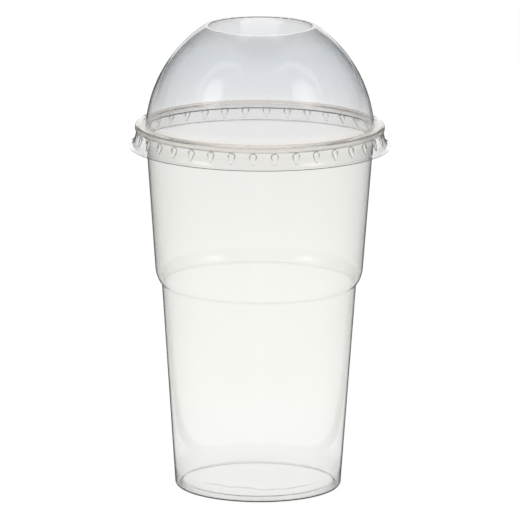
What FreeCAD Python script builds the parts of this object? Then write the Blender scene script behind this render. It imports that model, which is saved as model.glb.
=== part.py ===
import FreeCAD, Part
import math
import os

# A clear plastic cup with a domed lid that snaps over its rim.
# Millimetres, +Z up. The origin is the centre of the foot, on the surface that the cup stands on.
# Both pieces are thin sheet, round about Z. Each is drawn as the outline of one face,
# and the other face is the same outline moved sideways by the wall.

# The cup's wall and foot
cup_wall = 0.4
foot_radius = 32.3        # where the lower wall, carried down, meets the table
foot_corner = 1.3
foot_width = 2.1          # from the wall in to the recess under the floor
foot_inner_corner = 0.5
recess_depth = 1.5        # the floor stands this far above the table
recess_lean = 0.25        # the recess narrows by this much towards the floor
recess_corner = 0.4

# The cup's side, with the shoulder that stops stacked cups from jamming
lower_taper = 3.95        # degrees from upright
step_height = 80.2        # the crease under the shoulder
shoulder_radius = 11.0
shoulder_turn = 40.0      # degrees from upright, just above the crease
upper_taper = 4.2         # degrees from upright

# The cup's rolled rim
cup_height = 142.9
rim_width = 2.62          # from the wall's outer face to the rim's edge
rim_height = 2.2
rim_corner = 1.0
rim_tuck = 1.7            # how far the rolled edge comes back under the rim

# The lid's wall, and how it sits on the rim
lid_wall = 0.3
seat_clearance = 0.1      # between the rim and the lid's groove
band_clearance = 0.65     # between the rim and the lid's band
lug_clearance = 0.15      # between the rim and the lugs, as the lid is lifted
bead_clearance = 0.95     # between the rim and the bead that goes round the lid

# The lid's dome
dome_setback = 2.6        # from the rim's edge in to the foot of the dome
dome_draft = 10.5         # degrees from upright, at the foot of the dome
dome_straight = 5.2       # height of the straight part above the groove
dome_radius = 51.1
hole_radius = 19.95
hole_lip = 1.4            # width of the lip that turns in round the hole
hole_lip_fall = 0.5
hole_lip_corner = 0.5
hole_lip_run = 0.5        # the dome runs straight for this width beside the lip

# The lid's groove and bead
groove_width = 0.6
groove_corner = 0.25
bead_height = 0.78        # above the groove
bead_rise = 50.0          # degrees, the slope up from the groove
bead_fall = 19.8          # degrees, the slope down to the bead's edge
bead_top_corner = 0.8
bead_edge_corner = 1.2
bead_depth = 1.85         # from the groove down to the bead's lower edge

# The lid's band, skirt and lip
band_step = 0.4           # height of the step in from the bead
band_corner = 0.35
band_height = 1.65        # from the step to the crease
skirt_height = 2.5        # from the crease to the hem
skirt_flare = 0.65
hem_height = 1.3
hem_flare = 0.75
hem_corner = 1.0
lip_width = 1.35
lip_fall = 0.7
lip_corner = 0.6

# The snap lugs pressed into the skirt, which grip under the rim
lug_count = 36
lug_width = 2.65
lug_drop = 2.35           # from a lug's widest part, at the crease, to its point
lug_overrun = 0.15        # the pressing tool runs out of the skirt below the point
lug_start = -93.07        # degrees, where the first lug stands


def slope(degrees):
    return math.tan(math.radians(degrees))


def wall_radius_at(height, known, taper):
    """A wall's radius at a height, from a known (radius, height) on it and its taper."""
    return known[0] + (height - known[1]) * slope(taper)


def direction(start, end):
    length = math.hypot(end[0] - start[0], end[1] - start[1])
    return (end[0] - start[0]) / length, (end[1] - start[1]) / length


def turn_between(before, after):
    """The angle from one direction to the next. A left turn is positive."""
    cross = before[0] * after[1] - before[1] * after[0]
    dot = before[0] * after[0] + before[1] * after[1]
    return math.atan2(cross, dot)


def moved(corners, distance):
    """An outline of (radius, height, rounding) corners, moved to its left by a distance."""
    ways = [direction(a, b) for a, b in zip(corners, corners[1:])]
    first, last = corners[0], corners[-1]
    result = [(first[0] - ways[0][1] * distance, first[1] + ways[0][0] * distance, 0)]
    for before, after, corner in zip(ways, ways[1:], corners[1:]):
        turn = turn_between(before, after)
        back = distance * math.tan(turn / 2)
        radius = corner[0] - before[1] * distance - before[0] * back
        height = corner[1] + before[0] * distance - before[1] * back
        rounding = corner[2] - math.copysign(1, turn) * distance
        result.append((radius, height, max(rounding, 0)))
    result.append((last[0] - ways[-1][1] * distance, last[1] + ways[-1][0] * distance, 0))
    return result


def point(radius, height):
    return FreeCAD.Vector(radius, 0, height)


def add_line(edges, start, end):
    if start.distanceToPoint(end) > 1e-6:
        edges.append(Part.makeLine(start, end))


def outline_edges(corners):
    """Straight runs from corner to corner, each corner rounded by its third value."""
    edges = []
    here = point(corners[0][0], corners[0][1])
    for before, corner, after in zip(corners, corners[1:], corners[2:]):
        way_in, way_out = direction(before, corner), direction(corner, after)
        turn = turn_between(way_in, way_out)
        reach = corner[2] * abs(math.tan(turn / 2))
        start = point(corner[0] - way_in[0] * reach, corner[1] - way_in[1] * reach)
        end = point(corner[0] + way_out[0] * reach, corner[1] + way_out[1] * reach)
        add_line(edges, here, start)
        if reach > 1e-6:
            inward = direction(way_in, way_out)
            sag = corner[2] * (1 / math.cos(turn / 2) - 1)
            middle = point(corner[0] + inward[0] * sag, corner[1] + inward[1] * sag)
            edges.append(Part.Arc(start, middle, end).toShape())
        here = end
    add_line(edges, here, point(corners[-1][0], corners[-1][1]))
    return edges


def turned(edges):
    wire = Part.Wire(Part.__sortEdges__(edges))
    return Part.Face(wire).revolve(FreeCAD.Vector(0, 0, 0), FreeCAD.Vector(0, 0, 1), 360)


def turned_sheet(corners, wall):
    """Sheet whose one face is the outline, and whose other face lies to the outline's left."""
    other = moved(corners, wall)
    edges = outline_edges(corners) + outline_edges(other)
    for a, b in ((corners[0], other[0]), (corners[-1], other[-1])):
        add_line(edges, point(a[0], a[1]), point(b[0], b[1]))
    return turned(edges)


def arc_corner(centre, radius, low, high):
    """Where the tangents at the ends of an arc meet. Its angles are in degrees above level."""
    middle = math.radians((low + high) / 2)
    reach = radius / math.cos(math.radians((high - low) / 2))
    return centre[0] + reach * math.cos(middle), centre[1] + reach * math.sin(middle), radius


# The cup: floor, foot, lower wall, shoulder, upper wall and rolled rim
crease = (foot_radius + step_height * slope(lower_taper), step_height)
shoulder_centre = (crease[0] - shoulder_radius * math.cos(math.radians(shoulder_turn)),
                   crease[1] + shoulder_radius * math.sin(math.radians(shoulder_turn)))
shoulder = arc_corner(shoulder_centre, shoulder_radius, -shoulder_turn, -upper_taper)
rim_radius = wall_radius_at(cup_height, shoulder, upper_taper) + rim_width


def cup_outline():
    recess_radius = foot_radius - foot_width
    roll_top = cup_height - cup_wall
    roll_edge = rim_radius - cup_wall
    roll_bottom = cup_height - rim_height + cup_wall
    roll_corner = rim_corner - cup_wall
    return [
        (0, recess_depth, 0),
        (recess_radius - recess_lean, recess_depth, recess_corner),
        (recess_radius, 0, foot_inner_corner),
        (foot_radius, 0, foot_corner),
        (crease[0], crease[1], 0),
        shoulder,
        (wall_radius_at(roll_top, shoulder, upper_taper), roll_top, roll_corner),
        (roll_edge, roll_top, roll_corner),
        (roll_edge, roll_bottom, roll_corner),
        (rim_radius - rim_tuck, roll_bottom, 0),
    ]


# The lid: lip round the hole, dome, groove, bead, band, skirt, hem and lip
groove_height = cup_height + seat_clearance + lid_wall
band_radius = rim_radius + band_clearance + lid_wall
bead_radius = rim_radius + bead_clearance + lid_wall
bead_bottom = groove_height - bead_depth
crease_height = bead_bottom - band_step - band_height


def dome_corners():
    """The dome's arc and the lip's outer corner, worked out up from the foot of the dome."""
    foot = rim_radius - dome_setback
    draft = math.radians(dome_draft)
    centre = (foot - dome_straight * slope(dome_draft) - dome_radius * math.cos(draft),
              groove_height + dome_straight - dome_radius * math.sin(draft))
    lip_radius = hole_radius + hole_lip
    end_radius = lip_radius + hole_lip_run
    end_angle = math.acos((end_radius - centre[0]) / dome_radius)
    end_height = centre[1] + dome_radius * math.sin(end_angle)
    lip_height = end_height + hole_lip_run / math.tan(end_angle)
    arc = arc_corner(centre, dome_radius, dome_draft, math.degrees(end_angle))
    return (lip_radius, lip_height, hole_lip_corner), arc, (foot, groove_height, groove_corner)


def lid_outline():
    lip, dome, foot = dome_corners()
    groove_end = foot[0] + groove_width
    bead_top = (groove_end + bead_height / slope(bead_rise), groove_height + bead_height)
    bead_edge = bead_top[1] - (bead_radius - bead_top[0]) * slope(bead_fall)
    skirt_end = (band_radius + skirt_flare, crease_height - skirt_height)
    hem_end = (skirt_end[0] + hem_flare, skirt_end[1] - hem_height)
    return [
        (hole_radius, lip[1] - hole_lip_fall, 0),
        lip,
        dome,
        foot,
        (groove_end, groove_height, groove_corner),
        (bead_top[0], bead_top[1], bead_top_corner),
        (bead_radius, bead_edge, bead_edge_corner),
        (bead_radius, bead_bottom, band_corner),
        (band_radius, bead_bottom - band_step, band_corner),
        (band_radius, crease_height, 0),
        (skirt_end[0], skirt_end[1], hem_corner),
        (hem_end[0], hem_end[1], lip_corner),
        (hem_end[0] + lip_width, hem_end[1] - lip_fall, 0),
    ]


# A lug is half a ball pressed in at the crease, with a cone under it that runs out down the skirt
lug_depth = band_clearance - lug_clearance
lug_ball = ((lug_width / 2) ** 2 + lug_depth ** 2) / (2 * lug_depth)
lug_centre = band_radius - lug_depth + lug_ball


def skirt_radius(drop):
    return band_radius + drop * skirt_flare / skirt_height


def lug_tool(swell):
    """The pressing tool, swollen all round by the wall for the side that stands in."""
    narrowing = (lug_ball - lug_centre + skirt_radius(lug_drop)) / lug_drop
    ball = lug_ball + swell
    base = lug_ball + swell * math.hypot(1, narrowing)
    length = lug_drop + lug_overrun
    half = math.sqrt(0.5)
    edges = [Part.Arc(point(0, ball), point(ball * half, ball * half), point(ball, 0)).toShape()]
    below = [(ball, 0), (base, 0), (base - narrowing * length, -length), (0, -length), (0, ball)]
    for a, b in zip(below, below[1:]):
        add_line(edges, point(a[0], a[1]), point(b[0], b[1]))
    tool = turned(edges)
    tool.translate(FreeCAD.Vector(lug_centre, 0, crease_height))
    return tool


def skirt_room():
    """What a lug may fill: inside the middle of the skirt's wall, below the bead."""
    middle = lid_wall / 2
    top = crease_height + band_height
    bottom = crease_height - skirt_height
    inner = rim_radius
    corners = [(inner, top), (band_radius - middle, top), (band_radius - middle, crease_height),
               (skirt_radius(skirt_height) - middle, bottom), (inner, bottom)]
    edges = []
    for a, b in zip(corners, corners[1:] + corners[:1]):
        add_line(edges, point(a[0], a[1]), point(b[0], b[1]))
    return turned(edges)


def round_the_lid(shape):
    copies = []
    for i in range(lug_count):
        copy = shape.copy()
        copy.rotate(FreeCAD.Vector(0, 0, 0), FreeCAD.Vector(0, 0, 1), lug_start + i * 360 / lug_count)
        copies.append(copy)
    return copies


def make_lid():
    shell = turned_sheet(lid_outline(), -lid_wall)
    lug = lug_tool(lid_wall).common(skirt_room())
    return shell.fuse(round_the_lid(lug)).cut(round_the_lid(lug_tool(0)))


nodes = {
    "cup": turned_sheet(cup_outline(), cup_wall),
    "dome_lid": make_lid(),
}

os.makedirs("parts", exist_ok=True)
for name, shape in nodes.items():
    solid = shape.Solids[0] if len(shape.Solids) == 1 else shape
    solid.exportStep("parts/" + name + ".step")
    box = solid.BoundBox
    print(name, "solids", len(shape.Solids), "volume", round(solid.Volume, 1), "valid", solid.isValid(),
          "width", round(box.XLength, 2), "from", round(box.ZMin, 2), "to", round(box.ZMax, 2))
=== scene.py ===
import bpy
import math
from mathutils import Matrix, Vector


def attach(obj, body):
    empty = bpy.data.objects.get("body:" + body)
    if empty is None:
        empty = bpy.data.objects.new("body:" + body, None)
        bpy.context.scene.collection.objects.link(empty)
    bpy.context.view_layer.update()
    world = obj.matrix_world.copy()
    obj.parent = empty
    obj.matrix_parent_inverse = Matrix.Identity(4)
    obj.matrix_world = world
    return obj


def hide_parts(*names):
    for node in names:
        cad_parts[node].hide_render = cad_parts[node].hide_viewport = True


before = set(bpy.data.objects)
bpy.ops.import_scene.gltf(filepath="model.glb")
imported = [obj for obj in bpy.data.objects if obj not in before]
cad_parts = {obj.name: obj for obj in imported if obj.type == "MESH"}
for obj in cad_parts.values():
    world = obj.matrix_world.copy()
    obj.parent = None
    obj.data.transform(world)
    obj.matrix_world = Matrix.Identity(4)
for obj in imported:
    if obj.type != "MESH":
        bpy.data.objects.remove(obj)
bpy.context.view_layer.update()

mm = 0.001
perMetre = 1000             # mm
middle = (0, 0, 0)
upright = (0, 0, 1)
shortest = 0.01 * mm        # a straight run shorter than this is left out
mergeWithin = 0.005 * mm


# Working in edit mode
def startEditing(piece):
    bpy.ops.object.select_all(action="DESELECT")
    bpy.context.view_layer.objects.active = piece
    piece.select_set(True)
    bpy.ops.object.mode_set(mode="EDIT")
    bpy.ops.mesh.select_all(action="SELECT")


def stopEditing():
    bpy.ops.object.mode_set(mode="OBJECT")


def applyModifier(piece, kind, **settings):
    startEditing(piece)
    stopEditing()
    bpy.ops.object.modifier_add(type=kind)
    modifier = piece.modifiers[-1]
    for key, value in settings.items():
        setattr(modifier, key, value)
    bpy.ops.object.modifier_apply(modifier=modifier.name)


def drawOutline(name, corners, cuts={}):
    # corners are radius, height, rounding in mm and steps round it; cuts divide the run up to a corner
    points = [Vector((corner[0], 0, corner[1])) * mm for corner in corners]
    bpy.ops.object.select_all(action="DESELECT")
    bpy.ops.mesh.primitive_plane_add(size=mm, location=points[0])
    piece = bpy.context.object
    piece.name = piece.data.name = name
    bpy.ops.object.transform_apply()
    startEditing(piece)
    bpy.ops.mesh.merge(type="CENTER")
    here = points[0]
    for i in range(1, len(points)):
        corner = points[i]
        rounding, steps = corners[i][2] * mm, corners[i][3]
        wayIn = (corner - points[i - 1]).normalized()
        wayOut = (points[i + 1] - corner).normalized() if rounding else wayIn
        turn = wayIn.angle(wayOut) if rounding else 0
        reach = rounding * math.tan(turn / 2)
        start = corner - wayIn * reach
        if (start - here).length > shortest:
            runs = cuts.get(i, 1)
            for n in range(runs):
                bpy.ops.mesh.extrude_region_move(TRANSFORM_OT_translate={"value": (start - here) / runs})
        if rounding:
            side = wayIn.cross(wayOut).normalized()
            centre = start + side.cross(wayIn) * rounding
            bpy.ops.mesh.spin(steps=steps, angle=turn, center=centre, axis=-side)
        here = corner + wayOut * reach
    stopEditing()
    return piece


def spinRound(steps, degrees):
    # carries the selected outline on round the axis
    bpy.ops.mesh.spin(steps=steps, angle=math.radians(degrees), center=middle, axis=upright)


def turnRound(degrees):
    # with no window, rotate goes the other way, so its angle is negative
    bpy.ops.transform.rotate(value=-math.radians(degrees), orient_axis="Z", center_override=middle)


def closeSheet(piece, wall, inside, crisp):
    startEditing(piece)
    bpy.ops.mesh.remove_doubles(threshold=mergeWithin)
    bpy.ops.mesh.normals_make_consistent(inside=inside)
    stopEditing()
    applyModifier(piece, "SOLIDIFY", thickness=wall * mm, offset=-1, use_even_offset=True)
    bpy.ops.object.shade_smooth_by_angle(angle=math.radians(crisp))
    applyModifier(piece, "WEIGHTED_NORMAL", mode="FACE_AREA", keep_sharp=True)


# The cup: one clear sheet, drawn by its outer face
cup = {
    "wall": 0.4,
    "crisp": 35,                # edges that turn more than this many degrees stay sharp
    "columns": 288,
    "corners": [
        (0, 1.5, 0, 0),
        (28.9, 1.5, 1.2, 5),        # the floor, over a recess
        (30.5, 0, 0.8, 5),
        (32.3, 0, 1.3, 8),          # the foot
        (37.838, 80.2, 0, 0),       # the crease under the shoulder
        (40.122, 82.922, 11.0, 12),
        (44.497, 142.5, 0.6, 4),    # the inside of the rolled rim
        (46.746, 142.5, 0.6, 4),
        (46.746, 141.1, 0.6, 4),
        (45.446, 141.1, 0, 0),
    ],
}


def makeCup():
    piece = drawOutline("clearCup", cup["corners"])
    startEditing(piece)
    spinRound(cup["columns"], 360)
    stopEditing()
    closeSheet(piece, cup["wall"], inside=True, crisp=cup["crisp"])
    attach(piece, "cup")
    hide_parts("cup")
    print("cup:", len(piece.data.polygons), "faces")
    return piece


# The lid: one clear sheet, drawn by its outer face, a sector at a time with the lug that grips the rim
lid = {
    "wall": 0.3,
    "crisp": 20,
    "sectors": 36,
    "start": -93.07,                # where the first lug stands, in degrees
    "between": (2, 6.6),            # columns and degrees from lug to lug
    "across": (12, 3.4),            # columns and degrees across a lug
    "edgeSlack": 0.0001,            # radians, for finding a sector's last row
    "corners": [
        (19.95, 181.45, 0, 0),      # the edge of the hole
        (19.95, 181.874, 0.35, 4),  # and its flat lip
        (21.433, 181.874, 0.5, 5),
        (39.669, 169.613, 51.1, 14),    # the dome
        (44.546, 143.3, 0.25, 5),
        (45.146, 143.3, 0.25, 4),   # the groove on the rim
        (45.801, 144.08, 0.8, 9),
        (48.396, 143.146, 1.2, 10),  # the bead
        (48.396, 141.45, 0.35, 3),
        (48.096, 141.05, 0.35, 3),
        (48.096, 139.4, 0, 0),      # the band, down to the crease
        (48.746, 136.9, 1.0, 2),    # the skirt
        (49.496, 135.6, 0.6, 3),
        (50.846, 134.9, 0, 0),
    ],
    "cuts": {10: 7, 11: 9},         # rows that the lugs are pressed into
    "lugPlace": (48.096, 139.4),
    "lugSize": (0.8, 1.34, 1.34),   # half its depth, width and height
    "lugDepth": 0.5,                # where its floor is flat
    "lugPoint": (0.7, 2.5, 0.3),    # how far out and down it ends, and how narrow
    "toolFaces": (96, 48),          # round the tool and down it
}


def makeLugTool():
    # half a ball with a cone under it
    radius, height = lid["lugPlace"]
    place = Vector((radius, 0, height)) * mm
    segments, rings = lid["toolFaces"]
    bpy.ops.object.select_all(action="DESELECT")
    bpy.ops.mesh.primitive_uv_sphere_add(segments=segments, ring_count=rings, radius=mm,
                                         location=place, scale=lid["lugSize"])
    tool = bpy.context.object
    bpy.ops.object.transform_apply()
    startEditing(tool)
    bpy.ops.mesh.bisect(plane_co=place, plane_no=upright, clear_inner=True)
    out, down, narrow = lid["lugPoint"]
    drop = Vector((out, 0, -down)) * mm
    bpy.ops.mesh.extrude_region_move(TRANSFORM_OT_translate={"value": drop})
    bpy.ops.transform.resize(value=(narrow, narrow, 1), center_override=place + drop)
    bpy.ops.mesh.select_all(action="SELECT")
    depth = place - Vector((lid["lugDepth"] * mm, 0, 0))
    bpy.ops.mesh.bisect(plane_co=depth, plane_no=(1, 0, 0), clear_inner=True, use_fill=True)
    stopEditing()
    return tool


def makeLid():
    piece = drawOutline("clearDomedLid", lid["corners"], lid["cuts"])
    half = lid["across"][1] / 2
    startEditing(piece)
    turnRound(half)
    spinRound(*lid["across"])
    stopEditing()
    tool = makeLugTool()
    applyModifier(piece, "SHRINKWRAP", target=tool, wrap_method="PROJECT", use_project_x=True,
                  use_positive_direction=False, use_negative_direction=True)
    bpy.data.objects.remove(tool)

    # the plain stretch to the next lug, from the sector's last row of edges
    startEditing(piece)
    bpy.ops.mesh.select_all(action="DESELECT")
    stopEditing()
    for vertex in piece.data.vertices:
        bearing = math.atan2(vertex.co.y, vertex.co.x)
        vertex.select = abs(bearing + math.radians(half)) < lid["edgeSlack"]
    bpy.ops.object.mode_set(mode="EDIT")
    spinRound(*lid["between"])

    # the same sector again, all the way round
    bpy.ops.mesh.select_all(action="SELECT")
    step = 360 / lid["sectors"]
    bpy.ops.mesh.spin(steps=lid["sectors"] - 1, angle=math.radians(360 - step), dupli=True,
                      center=middle, axis=upright)
    bpy.ops.mesh.select_all(action="SELECT")
    turnRound(lid["start"])
    stopEditing()
    closeSheet(piece, lid["wall"], inside=False, crisp=lid["crisp"])
    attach(piece, "lid")
    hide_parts("dome_lid")
    print("lid:", len(piece.data.polygons), "faces")
    return piece


cupPiece = makeCup()
lidPiece = makeLid()


# Materials
def linear(colour):
    # an sRGB hex value as linear light
    parts = [int(colour[i:i + 2], 16) / 255 for i in (0, 2, 4)]
    return [c / 12.92 if c <= 0.04045 else ((c + 0.055) / 1.055) ** 2.4 for c in parts] + [1]


def addNode(tree, kind, settings={}, values={}, links={}):
    node = tree.nodes.new(kind)
    for key, value in settings.items():
        setattr(node, key, value)
    for key, value in values.items():
        node.inputs[key].default_value = value
    for key, output in links.items():
        tree.links.new(output, node.inputs[key])
    return node


def setStops(ramp, stops):
    while len(ramp.color_ramp.elements) < len(stops):
        ramp.color_ramp.elements.new(0.5)
    for element, (position, colour) in zip(ramp.color_ramp.elements, stops):
        element.position, element.color = position, linear(colour)


def newMaterial(name):
    material = bpy.data.materials.new(name)
    material.use_nodes = True
    material.node_tree.nodes.clear()
    return material, material.node_tree


# PET sheet, drawn over a mould: a hard bright gloss, faint long waves and a very faint haze
clearSheet = {
    "ior": 1.57,
    "density": 210,         # how fast its own tint builds up inside it
    "waves": 14.0,          # mm from wave to wave
    "waveHeight": 0.02,     # mm
    "hazeSize": 2.5,        # mm
    "hazeSpan": (0.35, 0.8),    # of the noise, from clear to rubbed
    "clean": 0.01,          # roughness where the sheet is clear
    "hazy": 0.05,           # and where it is rubbed
}

# the colour that one wall lets through, by height in mm: bands of painted shade and painted reflection, with
# a warmer tint in the bead;
# the cup is a little yellower than the lid, as its sheet is thicker
cupSheet = {
    "tint": "eeebe5",
    "bands": [
        # painted shade: greyer along the edge it stands on, in the crease, and slightly towards the rim
        (0, "dbd6d0"), (0.3, "dbd6d0"), (0.6, "ffffff"),        # the edge it stands on
        (12, "ffffff"), (30, "fffffd"),
        (79.8, "fffffd"), (80.05, "f4f4f1"), (80.4, "f4f4f1"), (80.7, "fffffd"),    # the crease
        (90, "fffffd"), (118, "fdfdfb"), (142, "fbfbfa"),
    ],
}
lidSheet = {
    "tint": "e2dad0",
    "bands": [
        (141.2, "ffffff"), (141.5, "fffcf9"), (144.2, "fffcf9"), (144.8, "ffffff"),     # warmer in the bead
        # painted shade and painted reflection: the dome is greyer and bluer towards the top, and left clear
        # round the hole
        (147, "f9fafb"), (158, "f4f6f9"), (168, "f0f3f6"), (174, "eff2f5"), (179, "f2f3f4"),
        (181.3, "f3f3f3"), (181.6, "ffffff"),       # clear round the hole
    ],
}
lowWavyLine = {
    "level": 5.9,           # mm up the wall
    "wander": 0.7,          # mm up and down from there
    "waves": 11,            # mm from wave to wave
    "noiseSpan": (0.3, 0.7),
    "width": 0.45,          # mm
    "fadesIn": (-22, -29),  # mm from the axis, towards the front
    "colour": "e4e4df",
}
lugShade = {
    "slope": (0.35, 0.8),   # how far a face turns round the rim, where the shade starts and where it is full
    "colour": "c6c3be",
}


def addLowWavyLine(tree, place, colour):
    # a darker wavy line low on the wall, on its front side only
    low, high = lowWavyLine["level"] + lowWavyLine["wander"], lowWavyLine["wander"] - lowWavyLine["level"]
    parts = addNode(tree, "ShaderNodeSeparateXYZ", {}, {}, {0: place})
    waves = addNode(tree, "ShaderNodeTexNoise", {},
                    {"Scale": perMetre / lowWavyLine["waves"], "Detail": 2.0}, {"Vector": place})
    shift = addNode(tree, "ShaderNodeMapRange", {},
                    {"From Min": lowWavyLine["noiseSpan"][0], "From Max": lowWavyLine["noiseSpan"][1],
                     "To Min": -low * mm, "To Max": high * mm}, {"Value": waves.outputs["Fac"]})
    over = addNode(tree, "ShaderNodeMath", {"operation": "ADD"}, {},
                   {0: parts.outputs["Z"], 1: shift.outputs["Result"]})
    off = addNode(tree, "ShaderNodeMath", {"operation": "ABSOLUTE"}, {}, {0: over.outputs["Value"]})
    line = addNode(tree, "ShaderNodeMapRange", {"interpolation_type": "SMOOTHSTEP"},
                   {"From Min": lowWavyLine["width"] * mm, "From Max": 0.0}, {"Value": off.outputs["Value"]})
    starts, full = lowWavyLine["fadesIn"]
    side = addNode(tree, "ShaderNodeMapRange", {"interpolation_type": "SMOOTHSTEP"},
                   {"From Min": starts * mm, "From Max": full * mm}, {"Value": parts.outputs["Y"]})
    share = addNode(tree, "ShaderNodeMath", {"operation": "MULTIPLY"}, {},
                    {0: line.outputs["Result"], 1: side.outputs["Result"]})
    return addNode(tree, "ShaderNodeMix", {"data_type": "RGBA"}, {7: linear(lowWavyLine["colour"])},
                   {0: share.outputs["Value"], 6: colour}).outputs[2]


def shadeLugs(tree, place, colour):
    # the steep sides of the lugs bend the light away, so they look dark; only they face round the rim
    face = addNode(tree, "ShaderNodeTexCoord").outputs["Normal"]
    out = addNode(tree, "ShaderNodeVectorMath", {"operation": "MULTIPLY"}, {1: (1, 1, 0)}, {0: place})
    out = addNode(tree, "ShaderNodeVectorMath", {"operation": "NORMALIZE"}, {}, {0: out.outputs["Vector"]})
    turned = addNode(tree, "ShaderNodeVectorMath", {"operation": "CROSS_PRODUCT"}, {},
                     {0: out.outputs["Vector"], 1: face})
    sideways = addNode(tree, "ShaderNodeSeparateXYZ", {}, {}, {0: turned.outputs["Vector"]})
    steep = addNode(tree, "ShaderNodeMath", {"operation": "ABSOLUTE"}, {}, {0: sideways.outputs["Z"]})
    share = addNode(tree, "ShaderNodeMapRange", {"interpolation_type": "SMOOTHSTEP"},
                    {"From Min": lugShade["slope"][0], "From Max": lugShade["slope"][1]},
                    {"Value": steep.outputs["Value"]})
    return addNode(tree, "ShaderNodeMix", {"data_type": "RGBA"}, {7: linear(lugShade["colour"])},
                   {0: share.outputs["Result"], 6: colour}).outputs[2]


def clearPlastic(name, sheet, addDetail):
    material, tree = newMaterial(name)
    place = addNode(tree, "ShaderNodeTexCoord").outputs["Object"]
    waves = addNode(tree, "ShaderNodeTexNoise", {},
                    {"Scale": perMetre / clearSheet["waves"], "Detail": 1.0}, {"Vector": place})
    bump = addNode(tree, "ShaderNodeBump", {},
                   {"Strength": 1.0, "Distance": clearSheet["waveHeight"] * mm},
                   {"Height": waves.outputs["Fac"]})
    haze = addNode(tree, "ShaderNodeTexNoise", {},
                   {"Scale": perMetre / clearSheet["hazeSize"], "Detail": 4.0}, {"Vector": place})
    rough = addNode(tree, "ShaderNodeMapRange", {},
                    {"From Min": clearSheet["hazeSpan"][0], "From Max": clearSheet["hazeSpan"][1],
                     "To Min": clearSheet["clean"], "To Max": clearSheet["hazy"]},
                    {"Value": haze.outputs["Fac"]})
    # painted shade and painted reflection by height, from the sheet's bands
    height = addNode(tree, "ShaderNodeSeparateXYZ", {}, {}, {0: place}).outputs["Z"]
    low, high = sheet["bands"][0][0], sheet["bands"][-1][0]
    along = addNode(tree, "ShaderNodeMapRange", {}, {"From Min": low * mm, "From Max": high * mm},
                    {"Value": height})
    ramp = addNode(tree, "ShaderNodeValToRGB", {}, {}, {"Fac": along.outputs["Result"]})
    setStops(ramp, [((band - low) / (high - low), colour) for band, colour in sheet["bands"]])
    colour = addDetail(tree, place, ramp.outputs["Color"])
    surface = addNode(tree, "ShaderNodeBsdfPrincipled", {},
                      {"Transmission Weight": 1.0, "IOR": clearSheet["ior"]},
                      {"Base Color": colour, "Normal": bump.outputs["Normal"],
                       "Roughness": rough.outputs["Result"]})
    body = addNode(tree, "ShaderNodeVolumeAbsorption", {},
                   {"Color": linear(sheet["tint"]), "Density": clearSheet["density"]})
    addNode(tree, "ShaderNodeOutputMaterial", {}, {},
            {"Surface": surface.outputs["BSDF"], "Volume": body.outputs["Volume"]})
    return material


cupPiece.data.materials.append(clearPlastic("clearCupSheet", cupSheet, addLowWavyLine))
lidPiece.data.materials.append(clearPlastic("clearLidSheet", lidSheet, shadeLugs))
print("materials done")


# The stage
stage = {
    "reflections": (2.0, 1.4),      # the sheet's mirrorings that see the room: one, two or three
    "floorSize": 12.0,
    "floorDrop": 0.0001,            # just under the foot
    "paper": "f4f4f4",
    "shadowShare": 0.06,    # how much of the floor's colour comes from the lamps, and so shows the shadow
    "floorShine": (0.7, 0.45),      # the floor's brightness in reflections, near the cup and away from it
    "floorReach": (0.2, 0.4),       # how far away that changes
    "underShine": 0.05,             # the cup's own shade on the floor, beside its foot
    "underReach": (0.033, 0.05),
    "paintedCardShade": 0.06,              # painted shade: behind the cup, in two wedges beside the backdrop, the floor's glow in reflections keeps only this share, as if dark cards stood there
    "paintedCardShadeReach": (0.21, 0.62),      # from this slope off straight back to this one
    "paintedCardShadeStart": (0.037, 0.015),    # how far aside and how far back the painted shade begins
    "laneWidth": (0.025, 0.031),    # painted light: straight behind the cup a lit lane between the two painted shades
    "laneStart": (0.02, 0.06),
    "laneOpens": (0.68, 0.8, 0.045),    # from where to where it widens, and by how much
    # what the sheet mirrors: grey by the sine of the height, in front of the cup and behind it
    "front": [
        (-1.0, "a6a6a3"), (0.0, "a6a6a3"), (0.1, "969798"),
        (0.9, "8b8e92"), (0.95, "404346"), (1.0, "303234"),
    ],
    "back": [(-1.0, "a6a6a3"), (-0.02, "a6a6a3"), (0.06, "3a3b3d"), (1.0, "303234")],
    "turnover": 0.3,                # and how far round the two fade into each other
    "strip": (0.22, 0.36, 0.05, 0.3, 1.0),     # the lit backdrop: half its width, its far end, and strength
    "rims": [               # thin bright rims outside the windows: bearing, height, reach, shift and strength
        (-56, 41, 25, -7, 4, 0.5),
        (54, 41, 25, 7, 4, 0.5),
    ],
    "rimFade": (2, 1),      # degrees inwards and outwards
    "windows": [            # bearing from the front, height, inner and outer reach in degrees, and strength
        (-61, 35, 2, 15, 1.3),
        (59, 36, 2, 15, 1.3),
    ],
}


def seenPlainly(tree):
    # 0 for what the sheet mirrors; what comes straight through it, or from round inside it, is plain white
    path = addNode(tree, "ShaderNodeLightPath")
    bounces = addNode(tree, "ShaderNodeMath", {"operation": "ADD"}, {},
                      {0: path.outputs["Glossy Depth"], 1: path.outputs["Diffuse Depth"]})
    number, slack = stage["reflections"]
    few = addNode(tree, "ShaderNodeMath", {"operation": "COMPARE"}, {1: number, 2: slack},
                  {0: bounces.outputs["Value"]})
    return addNode(tree, "ShaderNodeMath", {"operation": "SUBTRACT"}, {0: 1.0},
                   {1: few.outputs["Value"]}).outputs["Value"]


def softDisc(tree, way, bearing, up, inner, outer):
    # a round patch of the room, full to the inner reach and gone at the outer one
    turn, rise = math.radians(bearing), math.radians(up)
    centre = (math.sin(turn) * math.cos(rise), -math.cos(turn) * math.cos(rise), math.sin(rise))
    near = addNode(tree, "ShaderNodeVectorMath", {"operation": "DOT_PRODUCT"}, {1: centre}, {0: way})
    return addNode(tree, "ShaderNodeMapRange", {"interpolation_type": "SMOOTHSTEP"},
                   {"From Min": math.cos(math.radians(outer)), "From Max": math.cos(math.radians(inner))},
                   {"Value": near.outputs["Value"]}).outputs["Result"]


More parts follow.
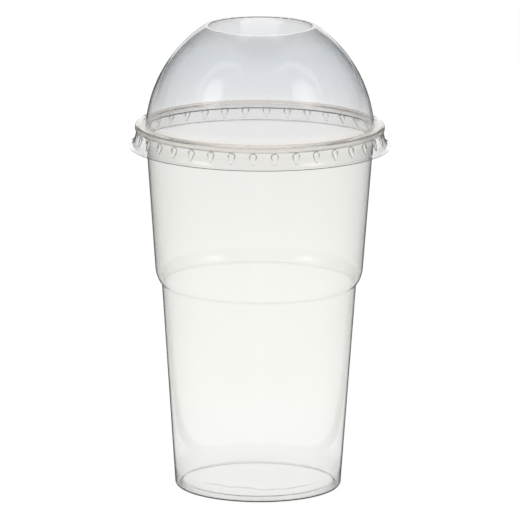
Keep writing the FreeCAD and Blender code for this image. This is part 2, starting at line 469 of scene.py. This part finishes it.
def makeFloor():
    bpy.ops.object.select_all(action="DESELECT")
    bpy.ops.mesh.primitive_plane_add(size=stage["floorSize"], location=(0, 0, -stage["floorDrop"]))
    floor = bpy.context.object
    floor.name = "floor"
    material, tree = newMaterial("whitePaperFloor")
    plainly = seenPlainly(tree)
    place = addNode(tree, "ShaderNodeTexCoord").outputs["Object"]
    parts = addNode(tree, "ShaderNodeSeparateXYZ", {}, {}, {0: place})
    away = addNode(tree, "ShaderNodeVectorMath", {"operation": "LENGTH"}, {}, {0: place})
    sideways = addNode(tree, "ShaderNodeMath", {"operation": "ABSOLUTE"}, {}, {0: parts.outputs["X"]})
    shine = addNode(tree, "ShaderNodeMapRange", {},
                    {"From Min": stage["floorReach"][0], "From Max": stage["floorReach"][1],
                     "To Min": stage["floorShine"][0], "To Max": stage["floorShine"][1]},
                    {"Value": away.outputs["Value"]})

    # painted shade on both sides, as if dark cards stood there; no cards are in the scene
    aside, beyond = stage["paintedCardShadeStart"]
    across = addNode(tree, "ShaderNodeMath", {"operation": "SUBTRACT"}, {1: aside},
                     {0: sideways.outputs["Value"]})
    back = addNode(tree, "ShaderNodeMath", {"operation": "MAXIMUM"}, {1: mm}, {0: parts.outputs["Y"]})
    slope = addNode(tree, "ShaderNodeMath", {"operation": "DIVIDE"}, {},
                    {0: across.outputs["Value"], 1: back.outputs["Value"]})
    clear = addNode(tree, "ShaderNodeMapRange", {"interpolation_type": "SMOOTHSTEP"},
                    {"From Min": stage["paintedCardShadeReach"][0], "From Max": stage["paintedCardShadeReach"][1]},
                    {"Value": slope.outputs["Value"]})
    front = addNode(tree, "ShaderNodeMapRange", {}, {"From Min": beyond, "From Max": 0.0},
                    {"Value": parts.outputs["Y"]})
    clear = addNode(tree, "ShaderNodeMath", {"operation": "MAXIMUM"}, {},
                    {0: clear.outputs["Result"], 1: front.outputs["Result"]})
    share = addNode(tree, "ShaderNodeMapRange", {}, {"To Min": stage["paintedCardShade"]},
                    {"Value": clear.outputs["Value"]})
    shine = addNode(tree, "ShaderNodeMath", {"operation": "MULTIPLY"}, {},
                    {0: shine.outputs["Result"], 1: share.outputs["Result"]})

    # the cup's own shade
    under = addNode(tree, "ShaderNodeMapRange", {"interpolation_type": "SMOOTHSTEP"},
                    {"From Min": stage["underReach"][0], "From Max": stage["underReach"][1],
                     "To Min": stage["underShine"]}, {"Value": away.outputs["Value"]})
    shine = addNode(tree, "ShaderNodeMath", {"operation": "MULTIPLY"}, {},
                    {0: shine.outputs["Value"], 1: under.outputs["Result"]})

    # painted light: the lit lane between the two painted shades
    opens, opened, wider = stage["laneOpens"]
    widening = addNode(tree, "ShaderNodeMapRange", {"interpolation_type": "SMOOTHSTEP"},
                       {"From Min": opens, "From Max": opened, "To Max": wider},
                       {"Value": parts.outputs["Y"]})
    within = addNode(tree, "ShaderNodeMath", {"operation": "SUBTRACT"}, {},
                     {0: sideways.outputs["Value"], 1: widening.outputs["Result"]})
    lane = addNode(tree, "ShaderNodeMapRange", {"interpolation_type": "SMOOTHSTEP"},
                   {"From Min": stage["laneWidth"][1], "From Max": stage["laneWidth"][0]},
                   {"Value": within.outputs["Value"]})
    behind = addNode(tree, "ShaderNodeMapRange", {"interpolation_type": "SMOOTHSTEP"},
                     {"From Min": stage["laneStart"][0], "From Max": stage["laneStart"][1]},
                     {"Value": parts.outputs["Y"]})
    lane = addNode(tree, "ShaderNodeMath", {"operation": "MULTIPLY"}, {},
                   {0: lane.outputs["Result"], 1: behind.outputs["Result"]})
    shine = addNode(tree, "ShaderNodeMath", {"operation": "MAXIMUM"}, {},
                    {0: shine.outputs["Value"], 1: lane.outputs["Value"]})

    strength = addNode(tree, "ShaderNodeMix", {"data_type": "FLOAT"}, {3: 1.0},
                       {0: plainly, 2: shine.outputs["Value"]})
    glow = addNode(tree, "ShaderNodeEmission", {}, {"Color": linear("ffffff")},
                   {"Strength": strength.outputs[0]})
    paper = addNode(tree, "ShaderNodeBsdfDiffuse", {}, {"Color": linear(stage["paper"])})
    both = addNode(tree, "ShaderNodeMixShader", {}, {0: stage["shadowShare"]},
                   {1: glow.outputs["Emission"], 2: paper.outputs["BSDF"]})
    addNode(tree, "ShaderNodeOutputMaterial", {}, {}, {"Surface": both.outputs["Shader"]})
    floor.data.materials.append(material)


def makeWorld():
    world = bpy.data.worlds.new("studio")
    bpy.context.scene.world = world
    world.use_nodes = True
    tree = world.node_tree
    tree.nodes.clear()
    plainly = seenPlainly(tree)
    way = addNode(tree, "ShaderNodeTexCoord").outputs["Generated"]
    parts = addNode(tree, "ShaderNodeSeparateXYZ", {}, {}, {0: way})
    level = addNode(tree, "ShaderNodeMapRange", {}, {"From Min": -1.0, "From Max": 1.0},
                    {"Value": parts.outputs["Z"]})
    sides = []
    for side in ("front", "back"):
        ramp = addNode(tree, "ShaderNodeValToRGB", {}, {}, {"Fac": level.outputs["Result"]})
        setStops(ramp, [((sine + 1) / 2, colour) for sine, colour in stage[side]])
        sides.append(ramp.outputs["Color"])
    depth = addNode(tree, "ShaderNodeMapRange", {"interpolation_type": "SMOOTHSTEP"},
                    {"From Min": -stage["turnover"], "From Max": stage["turnover"]},
                    {"Value": parts.outputs["Y"]})
    room = addNode(tree, "ShaderNodeMix", {"data_type": "RGBA"}, {},
                   {0: depth.outputs["Result"], 6: sides[0], 7: sides[1]}).outputs[2]

    half, edge, near, far, bright = stage["strip"]
    across = addNode(tree, "ShaderNodeMath", {"operation": "ABSOLUTE"}, {}, {0: parts.outputs["X"]})
    within = addNode(tree, "ShaderNodeMapRange", {"interpolation_type": "SMOOTHSTEP"},
                     {"From Min": edge, "From Max": half, "To Max": bright},
                     {"Value": across.outputs["Value"]})
    beyond = addNode(tree, "ShaderNodeMapRange", {"interpolation_type": "SMOOTHSTEP"},
                     {"From Min": near, "From Max": far}, {"Value": parts.outputs["Y"]})
    sheet = addNode(tree, "ShaderNodeMath", {"operation": "MULTIPLY"}, {},
                    {0: within.outputs["Result"], 1: beyond.outputs["Result"]})
    room = addNode(tree, "ShaderNodeVectorMath", {"operation": "ADD"}, {},
                   {0: room, 1: sheet.outputs["Value"]}).outputs["Vector"]

    inwards, outwards = stage["rimFade"]
    for bearing, up, reach, turned, raised, strength in stage["rims"]:
        inner, outer = reach - inwards, reach + outwards
        outside = softDisc(tree, way, bearing, up, inner, outer)
        hidden = softDisc(tree, way, bearing - turned, up - raised, inner, outer)
        glow = addNode(tree, "ShaderNodeMath", {"operation": "SUBTRACT", "use_clamp": True}, {},
                       {0: outside, 1: hidden})
        glow = addNode(tree, "ShaderNodeMath", {"operation": "MULTIPLY"}, {1: strength},
                       {0: glow.outputs["Value"]})
        room = addNode(tree, "ShaderNodeVectorMath", {"operation": "ADD"}, {},
                       {0: room, 1: glow.outputs["Value"]}).outputs["Vector"]
    for bearing, up, inner, outer, strength in stage["windows"]:
        patch = softDisc(tree, way, bearing, up, inner, outer)
        glow = addNode(tree, "ShaderNodeMath", {"operation": "MULTIPLY"}, {1: strength}, {0: patch})
        room = addNode(tree, "ShaderNodeVectorMath", {"operation": "ADD"}, {},
                       {0: room, 1: glow.outputs["Value"]}).outputs["Vector"]

    seen = addNode(tree, "ShaderNodeMix", {"data_type": "RGBA"}, {7: linear("ffffff")},
                   {0: plainly, 6: room})
    sky = addNode(tree, "ShaderNodeBackground", {}, {}, {"Color": seen.outputs[2]})
    addNode(tree, "ShaderNodeOutputWorld", {}, {}, {"Surface": sky.outputs["Background"]})


# Soft boxes: place, size in metres, and power in watts
lamps = {
    "frontLeftBox": ((-1.1, -1.3, 1.6), (0.9, 0.9), 28),
    "frontRightBox": ((1.1, -1.3, 1.6), (0.9, 0.9), 28),
    "topBox": ((0, 0.3, 2.0), (1.2, 1.2), 30),
}
lampTarget = (0, 0, 0.12)


def makeLamps():
    for name, (place, size, power) in lamps.items():
        turn = (Vector(lampTarget) - Vector(place)).to_track_quat("-Z", "Y").to_euler()
        bpy.ops.object.light_add(type="AREA", location=place, rotation=turn)
        lamp = bpy.context.object
        lamp.name = name
        lamp.data.shape = "RECTANGLE"
        lamp.data.size, lamp.data.size_y = size
        lamp.data.energy = power
        lamp.visible_glossy = lamp.visible_transmission = False     # the room's windows are what reflects


# The camera stands where the photographer's did, with a long lens
camera = {
    "away": 2.675,
    "down": 12.13,              # degrees
    "roll": 0.31,
    "target": (0.00033, 0, 0.0893),
    "lens": 475.8,
}


def makeCamera():
    down = math.radians(camera["down"])
    place = Vector(camera["target"]) + camera["away"] * Vector((0, -math.cos(down), math.sin(down)))
    tilt = Matrix.Rotation(math.pi / 2 - down, 3, "X")
    turn = tilt @ Matrix.Rotation(math.radians(camera["roll"]), 3, "Z")
    bpy.ops.object.camera_add(location=place, rotation=turn.to_euler())
    bpy.context.scene.camera = bpy.context.object
    bpy.context.object.data.lens = camera["lens"]


makeFloor()
makeWorld()
makeLamps()
makeCamera()

sheetBounces = 40           # a sight line crosses up to twenty faces of clear sheet
mirrorBounces = 6
scene = bpy.context.scene
scene.view_settings.view_transform = "Standard"
scene.cycles.max_bounces = scene.cycles.transmission_bounces = sheetBounces
scene.cycles.glossy_bounces = mirrorBounces
print("stage done")
